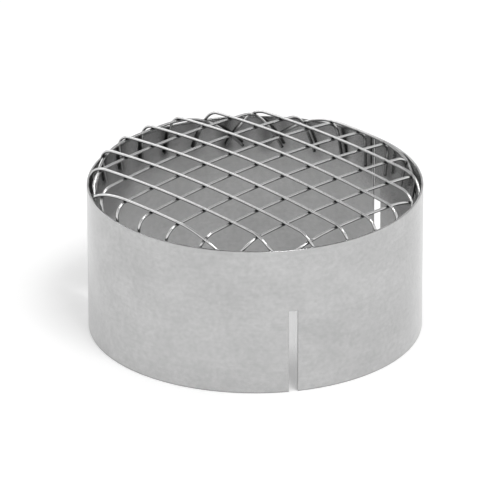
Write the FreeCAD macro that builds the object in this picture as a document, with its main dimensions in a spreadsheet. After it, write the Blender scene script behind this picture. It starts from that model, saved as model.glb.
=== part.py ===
import FreeCAD, Part
import math
import os

import Sketcher

# Vent cover: a slotted collar of rolled sheet steel, closed by a shallow dome of welded wire mesh.
# The origin is the centre of the collar's bottom edge, +Z is up and -Y is the front. Lengths are mm.
SIZES = {
    "pipe_diameter": 114.3,
    "pipe_clearance": 0.05,
    "sheet_thickness": 0.8,
    "collar_height": 52.8,
    "seam_angle": 43.3,
    "seam_opening": 0.6,
    "slot_width": 3.1,
    "slot_height": 30.2,
    "front_slot_angle": -77.1,
    "slot_spacing": 120.0,
    "wire_diameter": 1.06,
    "wires_per_layer": 9,
    "mesh_pitch": 12.7,
    "mesh_angle": 45.4,
    "upper_shift": 1.0,
    "lower_shift": 0.55,
    "weld_clearance": 0.1,
    "wall_clearance": 0.05,
    "dome_radius": 475.0,
    "dome_rise": 6.45,
    "lean_right": -0.0235,
    "bend_radius": 5.3,
    "leg_drop": 9.0,
}
SHEET_NAME = "Sizes"
# A wire is a bundle of flats round its axis and straight runs along it, so that eighteen stay light.
WIRE_FLATS = 12
BEND_CORNERS = 5
# A leg that runs this far round the wall has a corner at its middle.
LONG_LEG_TURN = math.radians(10)
# How the sketcher counts an edge's two ends and an arc's centre, and the sketch's own origin.
START, END, CENTRE = range(1, 4)
ORIGIN = (-1, START)
Z_AXIS = FreeCAD.Vector(0, 0, 1)


def make_sheet(doc):
    sheet = doc.addObject("Spreadsheet::Sheet", SHEET_NAME)
    for row, (name, value) in enumerate(SIZES.items(), start=1):
        sheet.set(f"A{row}", name)
        sheet.set(f"B{row}", str(value))
        sheet.setAlias(f"B{row}", name)
    doc.recompute()
    return sheet


def size(name):
    return f"{SHEET_NAME}.{name}"


COLLAR_INSIDE = f"({size('pipe_diameter')} / 2 + {size('pipe_clearance')})"
COLLAR_OUTSIDE = f"({COLLAR_INSIDE} + {size('sheet_thickness')})"


def origin_plane(body, role):
    return next(item for item in body.Origin.OriginFeatures if item.Role == role)


def add_sketch(body, name, angle):
    """A sketch on the body's bottom plane, turned about the collar's axis by the expression given."""
    sketch = body.newObject("Sketcher::SketchObject", name)
    sketch.AttachmentSupport = [(origin_plane(body, "XY_Plane"), "")]
    sketch.MapMode = "FlatFace"
    # The turn has to start away from zero, because the expression then keeps its axis.
    sketch.AttachmentOffset = FreeCAD.Placement(FreeCAD.Vector(), FreeCAD.Rotation(Z_AXIS, 1))
    sketch.setExpression("AttachmentOffset.Rotation.Angle", angle)
    return sketch


def bind(sketch, constraint, name, expression):
    """Adds a dimension to the sketch and binds it to an expression of the sheet."""
    number = sketch.addConstraint(constraint)
    sketch.renameConstraint(number, name)
    sketch.setExpression(f"Constraints.{name}", expression)


def strip_section(body, sheet):
    """The rolled strip seen from above: two arcs that stop short of the seam, on the sketch's +X side."""
    sketch = add_sketch(body, "strip_section", size("seam_angle"))
    inside = sheet.pipe_diameter / 2 + sheet.pipe_clearance
    outside = inside + sheet.sheet_thickness
    half_opening = sheet.seam_opening / 2
    corners = []
    for radius in (outside, inside):
        turn = math.asin(half_opening / radius)
        circle = Part.Circle(FreeCAD.Vector(), Z_AXIS, radius)
        arc = Part.ArcOfCircle(circle, turn, 2 * math.pi - turn)
        sketch.addGeometry(arc, False)
        corners.append((arc.StartPoint, arc.EndPoint))
    outer_arc, inner_arc, first_cut, last_cut = range(4)
    for outer_corner, inner_corner in zip(corners[outer_arc], corners[inner_arc]):
        sketch.addGeometry(Part.LineSegment(outer_corner, inner_corner), False)
    for line, arc_end in ((first_cut, START), (last_cut, END)):
        sketch.addConstraint(Sketcher.Constraint("Coincident", line, START, outer_arc, arc_end))
        sketch.addConstraint(Sketcher.Constraint("Coincident", line, END, inner_arc, arc_end))
        sketch.addConstraint(Sketcher.Constraint("Horizontal", line))
    for arc, name, radius, expression in (
        (outer_arc, "outside", outside, COLLAR_OUTSIDE),
        (inner_arc, "inside", inside, COLLAR_INSIDE),
    ):
        sketch.addConstraint(Sketcher.Constraint("Coincident", arc, CENTRE, *ORIGIN))
        bind(sketch, Sketcher.Constraint("Radius", arc, radius), name, expression)
    half = f"{size('seam_opening')} / 2"
    above = Sketcher.Constraint("DistanceY", *ORIGIN, first_cut, START, half_opening)
    below = Sketcher.Constraint("DistanceY", last_cut, START, *ORIGIN, half_opening)
    bind(sketch, above, "opening_above", half)
    bind(sketch, below, "opening_below", half)
    return sketch


def slot_section(body, sheet, name, angle, low_side, low_expression):
    """A slot seen from above: a rectangle across the wall, one slot width wide from its low side up."""
    sketch = add_sketch(body, name, angle)
    inside = sheet.pipe_diameter / 2
    outside = inside + sheet.pipe_clearance + 2 * sheet.sheet_thickness
    high_side = low_side + sheet.slot_width
    corners = [
        FreeCAD.Vector(inside, low_side),
        FreeCAD.Vector(outside, low_side),
        FreeCAD.Vector(outside, high_side),
        FreeCAD.Vector(inside, high_side),
    ]
    for corner, following in zip(corners, corners[1:] + corners[:1]):
        sketch.addGeometry(Part.LineSegment(corner, following), False)
    bottom, right, top, left = range(4)
    for line, following in ((bottom, right), (right, top), (top, left), (left, bottom)):
        sketch.addConstraint(Sketcher.Constraint("Coincident", line, END, following, START))
    for line in (bottom, top):
        sketch.addConstraint(Sketcher.Constraint("Horizontal", line))
    for line in (right, left):
        sketch.addConstraint(Sketcher.Constraint("Vertical", line))
    width = Sketcher.Constraint("DistanceY", right, START, right, END, sheet.slot_width)
    bind(sketch, width, "slot_width", size("slot_width"))
    near = Sketcher.Constraint("DistanceX", *ORIGIN, bottom, START, inside)
    bind(sketch, near, "near_side", f"{size('pipe_diameter')} / 2")
    across = Sketcher.Constraint("DistanceX", bottom, START, bottom, END, outside - inside)
    bind(sketch, across, "across_wall", f"{size('pipe_clearance')} + 2 * {size('sheet_thickness')}")
    depth = Sketcher.Constraint("DistanceY", bottom, START, *ORIGIN, -low_side)
    bind(sketch, depth, "low_side", low_expression)
    return sketch


def collar(doc, sheet):
    """One strip of sheet rolled to a ring, with three slots cut up from its bottom edge.

    One slot is a notch at the end of the strip, so the seam runs on up from the side of that slot.
    """
    body = doc.addObject("PartDesign::Body", "collar")
    body.Label = "collar"
    wall = body.newObject("PartDesign::Pad", "strip")
    wall.Profile = strip_section(body, sheet)
    wall.setExpression("Length", size("collar_height"))
    doc.recompute()
    half_width = f"{size('slot_width')} / 2"
    seam_side = f"{size('seam_opening')} / 2 + {size('slot_width')}"
    front = size("front_slot_angle")
    slots = [
        ("seam_slot", size("seam_angle"), -sheet.seam_opening / 2 - sheet.slot_width, seam_side),
        ("front_slot", front, -sheet.slot_width / 2, half_width),
        ("side_slot", f"{front} - {size('slot_spacing')}", -sheet.slot_width / 2, half_width),
    ]
    whole_slot = sheet.slot_width * sheet.slot_height * sheet.sheet_thickness
    for name, angle, low_side, low_expression in slots:
        volume = body.Shape.Volume
        slot = body.newObject("PartDesign::Pocket", name)
        slot.Profile = slot_section(body, sheet, f"{name}_section", angle, low_side, low_expression)
        slot.Reversed = True
        slot.setExpression("Length", size("slot_height"))
        doc.recompute()
        print(f"{name}: {volume - body.Shape.Volume:.1f} mm3 cut, of about {whole_slot:.1f}")
    return body


class Dish:
    """The middle surface of the pressed mesh: a shallow dome, a bend round the rim and a short wall."""

    def __init__(self, sheet):
        self.lift = (sheet.wire_diameter + sheet.weld_clearance) / 2
        collar_inside = sheet.pipe_diameter / 2 + sheet.pipe_clearance
        self.wall = collar_inside - sheet.wall_clearance - sheet.wire_diameter / 2 - self.lift
        self.crown = sheet.collar_height + sheet.dome_rise
        self.dome = sheet.dome_radius
        self.bend = sheet.bend_radius
        self.lean = sheet.lean_right
        self.bend_turn = math.asin((self.wall - self.bend) / (self.dome - self.bend))
        self.bend_start = self.dome * self.bend_turn
        self.bend_end = self.bend_start + self.bend * (math.pi / 2 - self.bend_turn)
        self.edge = self.bend_end + sheet.leg_drop

    def profile(self, distance, lift):
        """Radius and height of the point that lay this far from the middle of the flat mesh."""
        if distance <= self.bend_start:
            turn = distance / self.dome
            radius = self.dome * math.sin(turn)
            height = self.crown - self.dome * (1 - math.cos(turn))
        else:
            turn = min(self.bend_turn + (distance - self.bend_start) / self.bend, math.pi / 2)
            radius = self.wall - self.bend * (1 - math.sin(turn))
            height = self.crown - self.dome * (1 - math.cos(self.bend_turn))
            height -= self.bend * (math.cos(self.bend_turn) - math.cos(turn))
            height -= max(0, distance - self.bend_end)
        return radius + lift * math.sin(turn), height + lift * math.cos(turn)

    def point(self, flat_x, flat_y, lift):
        """Where a point of the flat mesh lies once the mesh is pressed to its shape."""
        distance = math.hypot(flat_x, flat_y)
        radius, height = self.profile(distance, lift)
        x = radius * flat_x / distance
        y = radius * flat_y / distance
        return FreeCAD.Vector(x, y, height + self.lean * x)


def along_wire(dish, offset, crossings, wire_diameter):
    """Distances along a straight wire of the flat mesh at which its pressed form has a corner.

    Over the dome these are its crossings with the other layer, so the two layers keep clear of each other.
    """
    edge_reach = math.sqrt(dish.edge**2 - offset**2)
    if abs(offset) > dish.bend_start:
        # The wire runs round inside the bend, with a corner between crossings too.
        halfway = [(place + following) / 2 for place, following in zip(crossings, crossings[1:])]
        inner = [place for place in crossings + halfway if abs(place) < edge_reach - wire_diameter]
        return sorted([-edge_reach] + inner + [edge_reach])
    dome_end = dish.bend_start - wire_diameter
    stations = [place for place in crossings if math.hypot(offset, place) < dome_end]
    bend_length = dish.bend_end - dish.bend_start
    for corner in range(BEND_CORNERS):
        distance = dish.bend_start + (corner + 0.5) / BEND_CORNERS * bend_length
        reach = math.sqrt(distance**2 - offset**2)
        stations += [-reach, reach]
    last_bend = max(stations)
    turn = math.atan2(edge_reach, abs(offset)) - math.atan2(last_bend, abs(offset))
    if turn > LONG_LEG_TURN:
        middle = (last_bend + edge_reach) / 2
        stations += [-middle, middle]
    stations += [-edge_reach, edge_reach]
    return sorted(stations)


def mitred_tube(corners, across, radius):
    """A closed tube of flats along straight runs, with square ends and a mitre at each corner."""
    runs = [(following - corner).normalize() for corner, following in zip(corners, corners[1:])]
    upward = runs[0].cross(across).normalize()
    sideways = upward.cross(runs[0])
    turns = [2 * math.pi * number / WIRE_FLATS for number in range(WIRE_FLATS)]
    ring = [corners[0] + (sideways * math.cos(turn) + upward * math.sin(turn)) * radius for turn in turns]
    rings = [ring]
    for run, next_run, corner in zip(runs, runs[1:] + runs[-1:], corners[1:]):
        mitre = run + next_run
        ring = [point + run * ((corner - point).dot(mitre) / run.dot(mitre)) for point in ring]
        rings.append(ring)
    outlines = [rings[0], rings[-1]]
    for ring, next_ring in zip(rings, rings[1:]):
        for number in range(WIRE_FLATS):
            # The last flat joins the last point to the first.
            outlines.append([ring[number - 1], ring[number], next_ring[number], next_ring[number - 1]])
    shell = Part.makeShell([Part.Face(Part.makePolygon(outline + outline[:1])) for outline in outlines])
    shell.sewShape()
    return Part.makeSolid(shell)


def wire(doc, dish, name, direction, offset, lift, stations, radius):
    """One round wire of the mesh, along its pressed form."""
    angle = math.radians(direction)
    along = FreeCAD.Vector(math.cos(angle), math.sin(angle))
    across = FreeCAD.Vector(math.sin(angle), -math.cos(angle))
    corners = []
    for distance in stations:
        flat = along * distance + across * offset
        corners.append(dish.point(flat.x, flat.y, lift))
    piece = doc.addObject("Part::Feature", name)
    piece.Label = name
    piece.Shape = mitred_tube(corners, across, radius)
    return piece


def mesh(doc, sheet):
    """Two layers of parallel wires, square to each other, the upper welded on top of the lower."""
    dish = Dish(sheet)
    count = int(sheet.wires_per_layer)
    steps = [(number - (count - 1) / 2) * sheet.mesh_pitch for number in range(count)]
    upper_offsets = [step + sheet.upper_shift for step in steps]
    lower_offsets = [step + sheet.lower_shift for step in steps]
    layers = [
        ("upper_wire", sheet.mesh_angle + 90, 1, dish.lift, upper_offsets, lower_offsets),
        ("lower_wire", sheet.mesh_angle, -1, -dish.lift, lower_offsets, upper_offsets),
    ]
    wires = []
    for name, direction, side, lift, offsets, crossings in layers:
        for number, offset in enumerate(offsets, start=1):
            # A wire further out than the bend would lie on the wall, and is trimmed off with the rest there.
            if abs(offset) < dish.bend_end:
                stations = along_wire(dish, offset, crossings, sheet.wire_diameter)
                radius = sheet.wire_diameter / 2
                piece = wire(doc, dish, f"{name}_{number}", direction, side * offset, lift, stations, radius)
                wires.append(piece)
    return wires


def check(doc, pieces):
    """Stops with a message if an object failed or a piece is not one valid solid."""
    for item in doc.Objects:
        if "Invalid" in item.State or "Error" in item.State:
            raise RuntimeError(f"{item.Name} failed: {item.State}")
    for piece in pieces:
        shape = piece.Shape
        if shape.isNull() or not shape.isValid() or len(shape.Solids) != 1 or shape.Volume <= 0:
            raise RuntimeError(f"{piece.Label} is not one valid solid")


def main():
    doc = FreeCAD.newDocument("vent_cover")
    sheet = make_sheet(doc)
    pieces = [collar(doc, sheet)] + mesh(doc, sheet)
    doc.recompute()
    check(doc, pieces)
    os.makedirs("parts", exist_ok=True)
    for piece in pieces:
        piece.Shape.exportStep(f"parts/{piece.Label}.step")
    print(f"{len(pieces)} pieces written")


main()
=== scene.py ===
import math
import random

import bmesh
import bpy
from mathutils import Matrix, Vector


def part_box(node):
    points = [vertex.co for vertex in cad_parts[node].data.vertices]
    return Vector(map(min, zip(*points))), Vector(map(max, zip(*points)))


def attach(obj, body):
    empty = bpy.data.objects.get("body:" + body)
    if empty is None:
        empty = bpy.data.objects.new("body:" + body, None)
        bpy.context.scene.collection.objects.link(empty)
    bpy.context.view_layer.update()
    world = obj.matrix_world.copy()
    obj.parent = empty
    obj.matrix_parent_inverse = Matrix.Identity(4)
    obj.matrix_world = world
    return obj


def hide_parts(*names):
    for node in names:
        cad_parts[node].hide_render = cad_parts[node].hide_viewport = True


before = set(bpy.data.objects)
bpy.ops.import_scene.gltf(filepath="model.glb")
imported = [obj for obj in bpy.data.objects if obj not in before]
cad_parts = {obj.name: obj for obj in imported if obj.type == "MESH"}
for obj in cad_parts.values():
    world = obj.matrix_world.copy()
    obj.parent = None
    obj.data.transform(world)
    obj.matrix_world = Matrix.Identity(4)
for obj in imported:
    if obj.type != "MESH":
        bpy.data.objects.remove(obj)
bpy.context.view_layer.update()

# Sizes in metres and angles in degrees, counted counter-clockwise from +X. They are the solids' own.
MM = 0.001
collar_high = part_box("collar")[1]
COLLAR_RADIUS = collar_high.x
COLLAR_HEIGHT = collar_high.z
SHEET = 0.8 * MM
INNER_RADIUS = COLLAR_RADIUS - SHEET
SEAM_ANGLE = 43.3
SEAM_OPENING = 0.6 * MM
SLOT_WIDTH = 3.1 * MM
SLOT_HEIGHT = 30.2 * MM
FRONT_SLOT_ANGLE = -77.1
SLOT_ANGLES = (FRONT_SLOT_ANGLE, FRONT_SLOT_ANGLE - 120)

WIRE_RADIUS = 0.53 * MM
WIRES_PER_LAYER = 9
MESH_PITCH = 12.7 * MM
MESH_ANGLE = 45.4
UPPER_SHIFT = 1.0 * MM
LOWER_SHIFT = 0.55 * MM
# The layers are welded, so their wires sink into each other by this much.
WELD_SINK = 0.08 * MM
WALL_CLEARANCE = 0.13 * MM
DOME_RADIUS = 475 * MM
DOME_RISE = 6.45 * MM
LEAN_RIGHT = -0.0235
BEND_RADIUS = 5.3 * MM
LEG_DROP = 9.0 * MM

# The pressed mesh: a shallow dome, a bend round the rim and a short wall
LIFT = WIRE_RADIUS - WELD_SINK / 2
WALL = INNER_RADIUS - WALL_CLEARANCE - WIRE_RADIUS - LIFT
CROWN = COLLAR_HEIGHT + DOME_RISE
BEND_TURN = math.asin((WALL - BEND_RADIUS) / (DOME_RADIUS - BEND_RADIUS))
BEND_START = DOME_RADIUS * BEND_TURN
BEND_END = BEND_START + BEND_RADIUS * (math.pi / 2 - BEND_TURN)
MESH_EDGE = BEND_END + LEG_DROP

# The steel's grains, in repeats per metre along each axis
ROLLED_GRAIN = (40, 40, 3000)
CLOUDY_GRAIN = (45, 45, 60)
SPECKLE_GRAIN = (600, 600, 700)
DRAWN_GRAIN = (150, 4000, 4000)
BLOTCHY_GRAIN = (200, 200, 200)

# The steel's brightness and roughness, from the low to the high end of a grain, and the bumps' heights
NOISE_RANGE = (0.3, 0.7)
COLLAR_BRIGHTNESS = (0.44, 0.525)
ROLLED_CHANGE = (0.975, 1.025)
SPECKLE_CHANGE = (0.94, 1.06)
COLLAR_ROUGHNESS = (0.19, 0.25)
COLLAR_BUMP = 0.0006 * MM
WIRE_BRIGHTNESS = (0.68, 0.74)
WIRE_ROUGHNESS = (0.2, 0.26)
WIRE_BUMP = 0.0005 * MM

# The burn-and-shade layer of a mesh says how dark its steel is, from 0 for bare steel to 1 for the
# darkest. It holds real weld burn and painted shade.
BURN_AND_SHADE_LAYER = "burn_and_shade"
# The share of its brightness that fully burnt steel, and steel in the deepest painted shade, keeps
COLLAR_BURNT_AND_SHADED = 0.08
WIRE_BURNT_AND_SHADED = 0.04
# Each leg's weld leaves its own mark on the inner wall. The reaches are in millimetres.
MARK_SEED = 5
MARK_STRENGTHS = (0.35, 1.0)
MARK_REACHES = (2.6, 4.6)
# The streak above each mark is a painted dark reflection of the leg, this share as dark as the mark.
LEG_REFLECTION_STRENGTH = 0.8
# The cut faces and the bottom edge are at least this dark: painted shade.
CUT_AND_BOTTOM_SHADE = 0.45
# A wire is burnt round its welds. The lower layer is darkened farther than the upper one, and that
# farther part is painted shade beside the upper wire.
UPPER_WELD_REACH = 0.7 * MM
LOWER_WELD_AND_SHADE_REACH = 1.2 * MM
# A wire's surface darkens where its outward direction rises by less than this share, and this fast:
# painted shade on its underside.
SHADED_UNDERSIDE_FROM = 0.25
UNDERSIDE_PAINTED_SHADE = 1.35
# The legs are darker from this height down, ever darker over the fade, up to the limit.
LEG_DARK_TOP = 50.4 * MM
LEG_DARK_FADE = 2.4 * MM
LEG_DARK_LIMIT = 0.75

# The strip's vertices: upright columns, in degrees apart, and rows that lie close together by the welds
COLUMN_SPACING = 1.0
BOTTOM_ROW = 0.5 * MM
FINE_ROWS_FROM = 36 * MM
FINE_ROWS = 18
STRIP_ROUNDING = 0.2 * MM
ROUNDED_ANGLE = 40

WIRE_STEP = 0.4 * MM
WIRE_SIDES = 16
WIRE_ROUNDING = 0.12 * MM
BEAD_RADIUS = 0.5 * MM
BEAD_HALF_HEIGHT = 0.2 * MM


# Materials
def new_material(name):
    material = bpy.data.materials.new(name)
    material.use_nodes = True
    nodes = material.node_tree.nodes
    nodes.clear()
    output = nodes.new("ShaderNodeOutputMaterial")
    return material, nodes, material.node_tree.links, output


def new_steel(name):
    """A material with a metal shader, whose colour, roughness and bump are still to be set."""
    material, nodes, links, output = new_material(name)
    shader = nodes.new("ShaderNodeBsdfPrincipled")
    shader.inputs["Metallic"].default_value = 1.0
    links.new(shader.outputs["BSDF"], output.inputs["Surface"])
    return material, nodes, links, shader


def add_noise(nodes, links, grain, detail, roughness=0.55, turn=0.0):
    """Noise on the object's own coordinates, turned about Z and then scaled by the grain."""
    place = nodes.new("ShaderNodeTexCoord")
    turned = nodes.new("ShaderNodeVectorRotate")
    turned.rotation_type = "Z_AXIS"
    turned.inputs["Angle"].default_value = math.radians(turn)
    links.new(place.outputs["Object"], turned.inputs["Vector"])
    scaled = nodes.new("ShaderNodeVectorMath")
    scaled.operation = "MULTIPLY"
    scaled.inputs[1].default_value = grain
    links.new(turned.outputs["Vector"], scaled.inputs[0])
    noise = nodes.new("ShaderNodeTexNoise")
    noise.inputs["Scale"].default_value = 1.0
    noise.inputs["Detail"].default_value = detail
    noise.inputs["Roughness"].default_value = roughness
    links.new(scaled.outputs["Vector"], noise.inputs["Vector"])
    return noise.outputs["Fac"]


def add_range(nodes, links, value, wanted, given=NOISE_RANGE):
    """A value brought from the given range to the wanted one."""
    mapped = nodes.new("ShaderNodeMapRange")
    mapped.inputs["From Min"].default_value = given[0]
    mapped.inputs["From Max"].default_value = given[1]
    mapped.inputs["To Min"].default_value = wanted[0]
    mapped.inputs["To Max"].default_value = wanted[1]
    links.new(value, mapped.inputs["Value"])
    return mapped.outputs["Result"]


def combine(nodes, links, operation, first, second):
    """One number from two, by an operation such as their product or the larger of them."""
    joined = nodes.new("ShaderNodeMath")
    joined.operation = operation
    links.new(first, joined.inputs[0])
    links.new(second, joined.inputs[1])
    return joined.outputs["Value"]


def add_colour(nodes, links, shader, bright, burnt_and_shaded):
    """A neutral colour of this brightness, down to the share given where the burn-and-shade layer says
    so.
    """
    layer = nodes.new("ShaderNodeAttribute")
    layer.attribute_name = BURN_AND_SHADE_LAYER
    left = add_range(nodes, links, layer.outputs["Fac"], (1.0, burnt_and_shaded), (0.0, 1.0))
    value = combine(nodes, links, "MULTIPLY", bright, left)
    grey = nodes.new("ShaderNodeCombineColor")
    for channel in ("Red", "Green", "Blue"):
        links.new(value, grey.inputs[channel])
    links.new(grey.outputs["Color"], shader.inputs["Base Color"])


def add_bump(nodes, links, shader, height, distance):
    bump = nodes.new("ShaderNodeBump")
    bump.inputs["Distance"].default_value = distance
    links.new(height, bump.inputs["Height"])
    links.new(bump.outputs["Normal"], shader.inputs["Normal"])


def collar_steel():
    """Matt rolled sheet: fine marks along the strip, speckles and clouds, darker at welds, with painted
    shade on the cuts and the bottom edge and painted dark reflections of the legs above the welds.
    """
    material, nodes, links, shader = new_steel("collar_steel_look")
    rolled = add_noise(nodes, links, ROLLED_GRAIN, detail=4.0)
    cloudy = add_noise(nodes, links, CLOUDY_GRAIN, detail=6.0, roughness=0.72)
    speckle = add_noise(nodes, links, SPECKLE_GRAIN, detail=3.0)
    bright = add_range(nodes, links, cloudy, COLLAR_BRIGHTNESS)
    fine = combine(
        nodes,
        links,
        "MULTIPLY",
        add_range(nodes, links, rolled, ROLLED_CHANGE),
        add_range(nodes, links, speckle, SPECKLE_CHANGE),
    )
    add_colour(nodes, links, shader, combine(nodes, links, "MULTIPLY", bright, fine), COLLAR_BURNT_AND_SHADED)
    links.new(add_range(nodes, links, cloudy, COLLAR_ROUGHNESS), shader.inputs["Roughness"])
    add_bump(nodes, links, shader, rolled, COLLAR_BUMP)
    return material


def wire_steel(turn):
    """Drawn wire: fine marks along it, blotches, darker at its welds and low on its legs, with painted
    shade on its underside and beside the crossings. The turn brings it onto X.
    """
    material, nodes, links, shader = new_steel(f"wire_steel_look_{turn:.0f}")
    drawn = add_noise(nodes, links, DRAWN_GRAIN, detail=2.0, turn=turn)
    blotchy = add_noise(nodes, links, BLOTCHY_GRAIN, detail=2.0)
    add_colour(nodes, links, shader, add_range(nodes, links, blotchy, WIRE_BRIGHTNESS), WIRE_BURNT_AND_SHADED)
    links.new(add_range(nodes, links, blotchy, WIRE_ROUGHNESS), shader.inputs["Roughness"])
    add_bump(nodes, links, shader, drawn, WIRE_BUMP)
    return material


# Meshes
def finish_mesh(name, shape, material, sharp_angle):
    """Turns a bmesh into a piece with smooth shading broken at its sharp edges."""
    bmesh.ops.recalc_face_normals(shape, faces=shape.faces)
    data = bpy.data.meshes.new(name)
    shape.to_mesh(data)
    shape.free()
    data.materials.append(material)
    data.polygons.foreach_set("use_smooth", [True] * len(data.polygons))
    data.set_sharp_from_angle(angle=math.radians(sharp_angle))
    piece = bpy.data.objects.new(name, data)
    bpy.context.scene.collection.objects.link(piece)
    return piece


def round_edges(shape, edges, size, segments):
    bmesh.ops.bevel(shape, geom=edges, offset=size, segments=segments, profile=0.5, affect="EDGES")


def strip_columns():
    """The upright lines of the strip, from one side of the seam round to the other.

    Each is its turn from the seam in degrees, with the angle and how far the line lies to its left,
    so a slot's sides are square to its middle.
    """
    half_opening = SEAM_OPENING / 2
    edges = [(angle, side) for angle in SLOT_ANGLES for side in (-SLOT_WIDTH / 2, SLOT_WIDTH / 2)]
    placed = [(0.0, (SEAM_ANGLE, half_opening))]
    for angle, side in edges:
        turn = (angle + math.degrees(math.asin(side / COLLAR_RADIUS)) - SEAM_ANGLE) % 360
        placed.append((turn, (angle, side)))
    for side in (-half_opening - SLOT_WIDTH, -half_opening):
        placed.append((360 + math.degrees(side / COLLAR_RADIUS), (SEAM_ANGLE, side)))
    taken = [turn for turn, _ in placed]
    for number in range(1, int(360 / COLUMN_SPACING)):
        turn = number * COLUMN_SPACING
        if min(abs(turn - other) for other in taken) > COLUMN_SPACING / 2:
            placed.append((turn, (SEAM_ANGLE + turn, 0.0)))
    placed.sort()
    return placed


def in_slot(turn):
    """Whether a place on the strip, counted in degrees from the seam, is over a slot."""
    half_width = math.degrees(SLOT_WIDTH / 2 / COLLAR_RADIUS)
    middles = [(angle - SEAM_ANGLE) % 360 for angle in SLOT_ANGLES]
    middles.append(360 - math.degrees(SEAM_OPENING / 2 / COLLAR_RADIUS) - half_width)
    return any(abs(turn - middle) < half_width for middle in middles)


def strip_cells(columns, heights):
    """The squares of the strip, each by its first column and row, without those over a slot."""
    cells = set()
    for number in range(len(columns) - 1):
        middle = (columns[number][0] + columns[number + 1][0]) / 2
        for row in range(len(heights) - 1):
            if heights[row] >= SLOT_HEIGHT or not in_slot(middle):
                cells.add((number, row))
    return cells


def wall_burn_and_reflection(point, mark):
    """How dark the inner wall is at a point near a weld: a burnt smudge, and above it a fainter streak
    of painted dark reflection of the leg.
    """
    place, strength, reach = mark
    apart = point - place
    smudge = 1 - apart.length / reach
    apart.z = min(0.0, apart.z)
    painted_reflection = LEG_REFLECTION_STRENGTH * (1 - apart.length / reach)
    return strength * max(0.0, smudge, painted_reflection)


def paint_shade_on_cuts(shape, layer):
    """Painted shade on the sheared faces of the slots and seam and on the bottom edge, darker than the
    sheet.
    """
    bottom_edge = 0.25 * MM
    rim_edge = 1.0 * MM
    most_outward = 0.3
    shape.normal_update()
    # Painted shade: the bottom edge, then the cut faces, are darkened.
    painted_shade_verts = [vertex for vertex in shape.verts if vertex.co.z < bottom_edge]
    for face in shape.faces:
        middle = face.calc_center_median()
        outward = Vector((middle.x, middle.y, 0)).normalized()
        if abs(face.normal.dot(outward)) < most_outward and middle.z < COLLAR_HEIGHT - rim_edge:
            painted_shade_verts += face.verts
    for vertex in painted_shade_verts:
        vertex[layer] = max(vertex[layer], CUT_AND_BOTTOM_SHADE)


def add_wall(shape, layer, radius, columns, heights, marks):
    """The vertices of the strip's outer or inner face, by column and row. The inner one is marked."""
    wall = []
    for _, (angle, side) in columns:
        turn = math.radians(angle) + math.asin(side / radius)
        column = []
        for height in heights:
            point = Vector((radius * math.cos(turn), radius * math.sin(turn), height))
            vertex = shape.verts.new(point)
            if radius < COLLAR_RADIUS:
                vertex[layer] = max(wall_burn_and_reflection(point, mark) for mark in marks)
            column.append(vertex)
        wall.append(column)
    return wall


def make_collar(material, marks):
    """The rolled strip with its slots and seam, its edges slightly rounded.

    The marks are those that the welds leave on the inner wall, each with a painted dark reflection of
    its leg above it.
    """
    columns = strip_columns()
    heights = [0.0, BOTTOM_ROW, SLOT_HEIGHT / 2, SLOT_HEIGHT]
    for row in range(FINE_ROWS + 1):
        heights.append(FINE_ROWS_FROM + (COLLAR_HEIGHT - FINE_ROWS_FROM) * row / FINE_ROWS)
    shape = bmesh.new()
    layer = shape.verts.layers.float.new(BURN_AND_SHADE_LAYER)
    outer = add_wall(shape, layer, COLLAR_RADIUS, columns, heights, marks)
    inner = add_wall(shape, layer, INNER_RADIUS, columns, heights, marks)
    cells = strip_cells(columns, heights)
    for number, row in cells:
        corners = [(number, row), (number + 1, row), (number + 1, row + 1), (number, row + 1)]
        neighbours = [(number, row - 1), (number + 1, row), (number, row + 1), (number - 1, row)]
        shape.faces.new([outer[column][level] for column, level in corners])
        shape.faces.new([inner[column][level] for column, level in reversed(corners)])
        following = corners[1:] + corners[:1]
        for here, after, neighbour in zip(corners, following, neighbours):
            if neighbour not in cells:
                edge = [(outer, after), (outer, here), (inner, here), (inner, after)]
                shape.faces.new([wall[column][level] for wall, (column, level) in edge])
    loose = [vertex for vertex in shape.verts if not vertex.link_faces]
    bmesh.ops.delete(shape, geom=loose, context="VERTS")
    sharp = [edge for edge in shape.edges if edge.calc_face_angle(0) > math.radians(ROUNDED_ANGLE)]
    round_edges(shape, sharp, STRIP_ROUNDING, segments=3)
    paint_shade_on_cuts(shape, layer)
    return finish_mesh("steel_collar", shape, material, sharp_angle=35)


def pressed(flat, lift):
    """Where a point of the flat mesh lies once the mesh is pressed to its shape."""
    distance = flat.length
    if distance <= BEND_START:
        turn = distance / DOME_RADIUS
        radius = DOME_RADIUS * math.sin(turn)
        height = CROWN - DOME_RADIUS * (1 - math.cos(turn))
    else:
        turn = min(BEND_TURN + (distance - BEND_START) / BEND_RADIUS, math.pi / 2)
        radius = WALL - BEND_RADIUS * (1 - math.sin(turn))
        height = CROWN - DOME_RADIUS * (1 - math.cos(BEND_TURN))
        height -= BEND_RADIUS * (math.cos(BEND_TURN) - math.cos(turn))
        height -= max(0, distance - BEND_END)
    radius += lift * math.sin(turn)
    height += lift * math.cos(turn)
    x, y = flat * (radius / distance)
    return Vector((x, y, height + LEAN_RIGHT * x))


def wire_burn_and_shade(place, out, welds, reach):
    """How dark a point of a wire is: burnt by a weld, with painted shade on its underside and beside
    the crossings, and darker low on a leg.

    It is fully burnt to half the reach from a weld, and this fades over the reach.
    """
    near = min((place - weld).length for weld in welds)
    burnt_and_shaded = 1 - (near - reach / 2) / reach
    # Painted shade on the wire's underside
    painted_underside_shade = UNDERSIDE_PAINTED_SHADE * (SHADED_UNDERSIDE_FROM - out.z)
    low_on_leg = min(LEG_DARK_LIMIT, (LEG_DARK_TOP - place.z) / LEG_DARK_FADE)
    return min(1.0, max(0.0, burnt_and_shaded, painted_underside_shade, low_on_leg))


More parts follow.
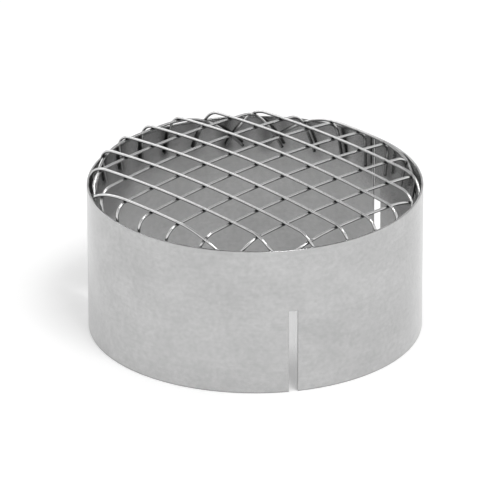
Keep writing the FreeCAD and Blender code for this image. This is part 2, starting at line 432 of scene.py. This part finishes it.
def add_tube(shape, layer, path, welds, reach):
    """A round tube along the path, with slightly rounded ends."""
    rings = []
    side = (path[1] - path[0]).orthogonal().normalized()
    last = len(path) - 1
    for number, place in enumerate(path):
        along = (path[min(number + 1, last)] - path[max(number - 1, 0)]).normalized()
        side = (side - along * side.dot(along)).normalized()
        other = along.cross(side)
        ring = []
        for step in range(WIRE_SIDES):
            turn = 2 * math.pi * step / WIRE_SIDES
            out = side * math.cos(turn) + other * math.sin(turn)
            vertex = shape.verts.new(place + out * WIRE_RADIUS)
            vertex[layer] = wire_burn_and_shade(vertex.co, out, welds, reach)
            ring.append(vertex)
        rings.append(ring)
    for ring, following in zip(rings, rings[1:]):
        for step in range(WIRE_SIDES):
            after = (step + 1) % WIRE_SIDES
            shape.faces.new([ring[step], ring[after], following[after], following[step]])
    caps = [shape.faces.new(list(reversed(rings[0]))), shape.faces.new(rings[-1])]
    rims = [edge for cap in caps for edge in cap.edges]
    round_edges(shape, rims, WIRE_ROUNDING, segments=2)


def add_bead(shape, layer, place, up):
    """A small squashed bead at a weld, square to the direction given and fully burnt."""
    bead = bmesh.ops.create_icosphere(shape, subdivisions=2, radius=1.0)["verts"]
    facing = up.to_track_quat("Z", "Y")
    for vertex in bead:
        x, y, z = vertex.co
        vertex.co = place + facing @ Vector((x * BEAD_RADIUS, y * BEAD_RADIUS, z * BEAD_HALF_HEIGHT))
        vertex[layer] = 1.0


def make_wire(name, direction, side, offset, lift, crossings, material):
    """One wire of the mesh along its pressed form. An upper wire carries the beads of its welds."""
    angle = math.radians(direction)
    along = Vector((math.cos(angle), math.sin(angle)))
    across = Vector((math.sin(angle), -math.cos(angle))) * side
    upper = lift > 0
    half_length = math.sqrt(MESH_EDGE**2 - offset**2)
    steps = round(2 * half_length / WIRE_STEP)
    distances = [-half_length + 2 * half_length * number / steps for number in range(steps + 1)]
    path = [pressed(along * distance + across * offset, lift) for distance in distances]
    flat_welds = [along * crossing + across * offset for crossing in crossings]
    welds = [pressed(flat, 0.0) for flat in flat_welds]
    shape = bmesh.new()
    layer = shape.verts.layers.float.new(BURN_AND_SHADE_LAYER)
    # The lower layer's farther reach paints shade beside the upper wire at each crossing.
    reach = UPPER_WELD_REACH if upper else LOWER_WELD_AND_SHADE_REACH
    add_tube(shape, layer, path, welds + [path[0], path[-1]], reach)
    if upper:
        for flat, weld in zip(flat_welds, welds):
            if flat.length < BEND_END:
                add_bead(shape, layer, weld, (pressed(flat, lift) - weld).normalized())
    piece = finish_mesh(name, shape, material, sharp_angle=50)
    return piece, (path[0], path[-1])


def weld_marks(leg_ends):
    """The marks on the inner wall: the place of each, how dark it is and how far it reaches."""
    chance = random.Random(MARK_SEED)
    marks = []
    for end in leg_ends:
        out = Vector((end.x, end.y)).normalized() * INNER_RADIUS
        strength = chance.uniform(*MARK_STRENGTHS)
        reach = chance.uniform(*MARK_REACHES) * MM
        marks.append((Vector((out.x, out.y, end.z)), strength, reach))
    return marks


# Build the pieces
sheet_look = collar_steel()
even_offsets = [(number - (WIRES_PER_LAYER - 1) / 2) * MESH_PITCH for number in range(WIRES_PER_LAYER)]
upper_offsets = [offset + UPPER_SHIFT for offset in even_offsets]
lower_offsets = [offset + LOWER_SHIFT for offset in even_offsets]
layers = [
    ("upper_wire", MESH_ANGLE + 90, 1, LIFT, upper_offsets, lower_offsets),
    ("lower_wire", MESH_ANGLE, -1, -LIFT, lower_offsets, upper_offsets),
]
leg_ends = []
for kind, direction, side, lift, offsets, crossings in layers:
    look = wire_steel(-direction)
    for number, offset in enumerate(offsets, start=1):
        node = f"{kind}_{number}"
        wire, ends = make_wire(f"round_{node}", direction, side, offset, lift, crossings, look)
        leg_ends += ends
        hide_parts(node)
        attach(wire, "root")

collar = make_collar(sheet_look, weld_marks(leg_ends))
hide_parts("collar")
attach(collar, "root")

# The floor, the lamps and the world
FLOOR_HALF_SIZE = 3.0
FLOOR_COLOUR = (0.8, 0.8, 0.8, 1)
FLOOR_GLOW = 0.34
INSIDE_GLOW = 0.18
GLOW_BORDER = (COLLAR_RADIUS - MM, COLLAR_RADIUS)
# The world's strength, from the low to the high one of two upward shares of a direction
WORLD_LIGHT = (0.68, 0.4)
WORLD_LIGHT_HEIGHTS = (0.3, 0.7)
WORLD_SHOWN = (1.0, 0.35)
WORLD_SHOWN_HEIGHTS = (0.35, 0.7)
LAMP_DISTANCE = 1.6


def seen_directly(nodes, links):
    """1 for the rays of the camera and of the metal's reflections.

    It is 0 for those that only bring light.
    """
    rays = nodes.new("ShaderNodeLightPath")
    seen = rays.outputs["Is Camera Ray"]
    for kind in ("Is Glossy Ray", "Is Transmission Ray"):
        seen = combine(nodes, links, "MAXIMUM", seen, rays.outputs[kind])
    return seen


def make_floor():
    """A pale floor that keeps the soft shadow and shows white to the camera and to the metal.

    The glow that makes it white is weaker inside the collar, so the inside keeps its own shade.
    """
    data = bpy.data.meshes.new("floor")
    size = FLOOR_HALF_SIZE
    corners = [(-size, -size, 0), (size, -size, 0), (size, size, 0), (-size, size, 0)]
    data.from_pydata(corners, [], [(0, 1, 2, 3)])
    floor = bpy.data.objects.new("floor", data)
    bpy.context.scene.collection.objects.link(floor)
    material, nodes, links, output = new_material("pale_floor")
    diffuse = nodes.new("ShaderNodeBsdfDiffuse")
    diffuse.inputs["Color"].default_value = FLOOR_COLOUR
    glow = nodes.new("ShaderNodeEmission")
    place = nodes.new("ShaderNodeTexCoord")
    distance = nodes.new("ShaderNodeVectorMath")
    distance.operation = "LENGTH"
    links.new(place.outputs["Object"], distance.inputs[0])
    shown = add_range(nodes, links, distance.outputs["Value"], (INSIDE_GLOW, FLOOR_GLOW), GLOW_BORDER)
    strength = combine(nodes, links, "MULTIPLY", seen_directly(nodes, links), shown)
    links.new(strength, glow.inputs["Strength"])
    both = nodes.new("ShaderNodeAddShader")
    links.new(diffuse.outputs["BSDF"], both.inputs[0])
    links.new(glow.outputs["Emission"], both.inputs[1])
    links.new(both.outputs["Shader"], output.inputs["Surface"])
    data.materials.append(material)
    return floor


def add_area(name, azimuth, elevation, width, power):
    """A square soft box aimed at the object. Azimuth 0 is in front and 90 is to the right."""
    light = bpy.data.lights.new(name, "AREA")
    light.shape = "SQUARE"
    light.size = width
    light.energy = power
    lamp = bpy.data.objects.new(name, light)
    turn = math.radians(azimuth)
    rise = math.radians(elevation)
    away = Vector((math.sin(turn) * math.cos(rise), -math.cos(turn) * math.cos(rise), math.sin(rise)))
    lamp.location = away * LAMP_DISTANCE
    lamp.rotation_mode = "QUATERNION"
    lamp.rotation_quaternion = away.to_track_quat("Z", "Y")
    bpy.context.scene.collection.objects.link(lamp)
    return lamp


def set_world():
    """White to the camera and the metal, and pale in the light it brings. Both are weaker overhead."""
    world = bpy.data.worlds.new("studio")
    world.use_nodes = True
    nodes = world.node_tree.nodes
    links = world.node_tree.links
    place = nodes.new("ShaderNodeTexCoord")
    parts = nodes.new("ShaderNodeSeparateXYZ")
    links.new(place.outputs["Generated"], parts.inputs["Vector"])
    light = add_range(nodes, links, parts.outputs["Z"], WORLD_LIGHT, WORLD_LIGHT_HEIGHTS)
    shown = add_range(nodes, links, parts.outputs["Z"], WORLD_SHOWN, WORLD_SHOWN_HEIGHTS)
    seen = combine(nodes, links, "MULTIPLY", seen_directly(nodes, links), shown)
    background = nodes["Background"]
    background.inputs["Color"].default_value = (1, 1, 1, 1)
    links.new(combine(nodes, links, "MAXIMUM", light, seen), background.inputs["Strength"])
    bpy.context.scene.world = world


make_floor()
add_area("key_light", azimuth=30, elevation=62, width=0.5, power=9.5)
# The side light only softens the floor, so that it draws no lines on the wires.
side_light = add_area("side_light", azimuth=80, elevation=40, width=1.2, power=3)
side_light.visible_glossy = False
# The light behind draws the bright lines on the upper wires.
add_area("back_light", azimuth=-140, elevation=42, width=0.9, power=3.6)
set_world()


# Camera, from the photograph's perspective
def turn_axes(first, second, angle):
    """Two axes turned in their own plane, the first towards the second."""
    return (
        first * math.cos(angle) + second * math.sin(angle),
        second * math.cos(angle) - first * math.sin(angle),
    )


def make_camera():
    """It looks at the middle of the collar's open bottom, then turns by the small angles given."""
    distance = 2.3223
    elevation = math.radians(25.1)
    turn_right = math.radians(-0.0441)
    tilt_up = math.radians(0.6098)
    roll = math.radians(-0.0665)
    data = bpy.data.cameras.new("camera")
    data.sensor_width = 36
    data.lens = 480.93
    data.clip_start = 0.1
    data.clip_end = 20
    camera = bpy.data.objects.new("camera", data)
    forward = Vector((0, math.cos(elevation), -math.sin(elevation)))
    right = Vector((1, 0, 0))
    up = right.cross(forward)
    forward, right = turn_axes(forward, right, turn_right)
    forward, up = turn_axes(forward, up, tilt_up)
    right, up = turn_axes(right, up, roll)
    camera.location = (0, -distance * math.cos(elevation), distance * math.sin(elevation))
    camera.rotation_mode = "QUATERNION"
    camera.rotation_quaternion = Matrix((right, up, -forward)).transposed().to_quaternion()
    bpy.context.scene.collection.objects.link(camera)
    bpy.context.scene.camera = camera


make_camera()
bpy.context.scene.view_settings.view_transform = "Standard"
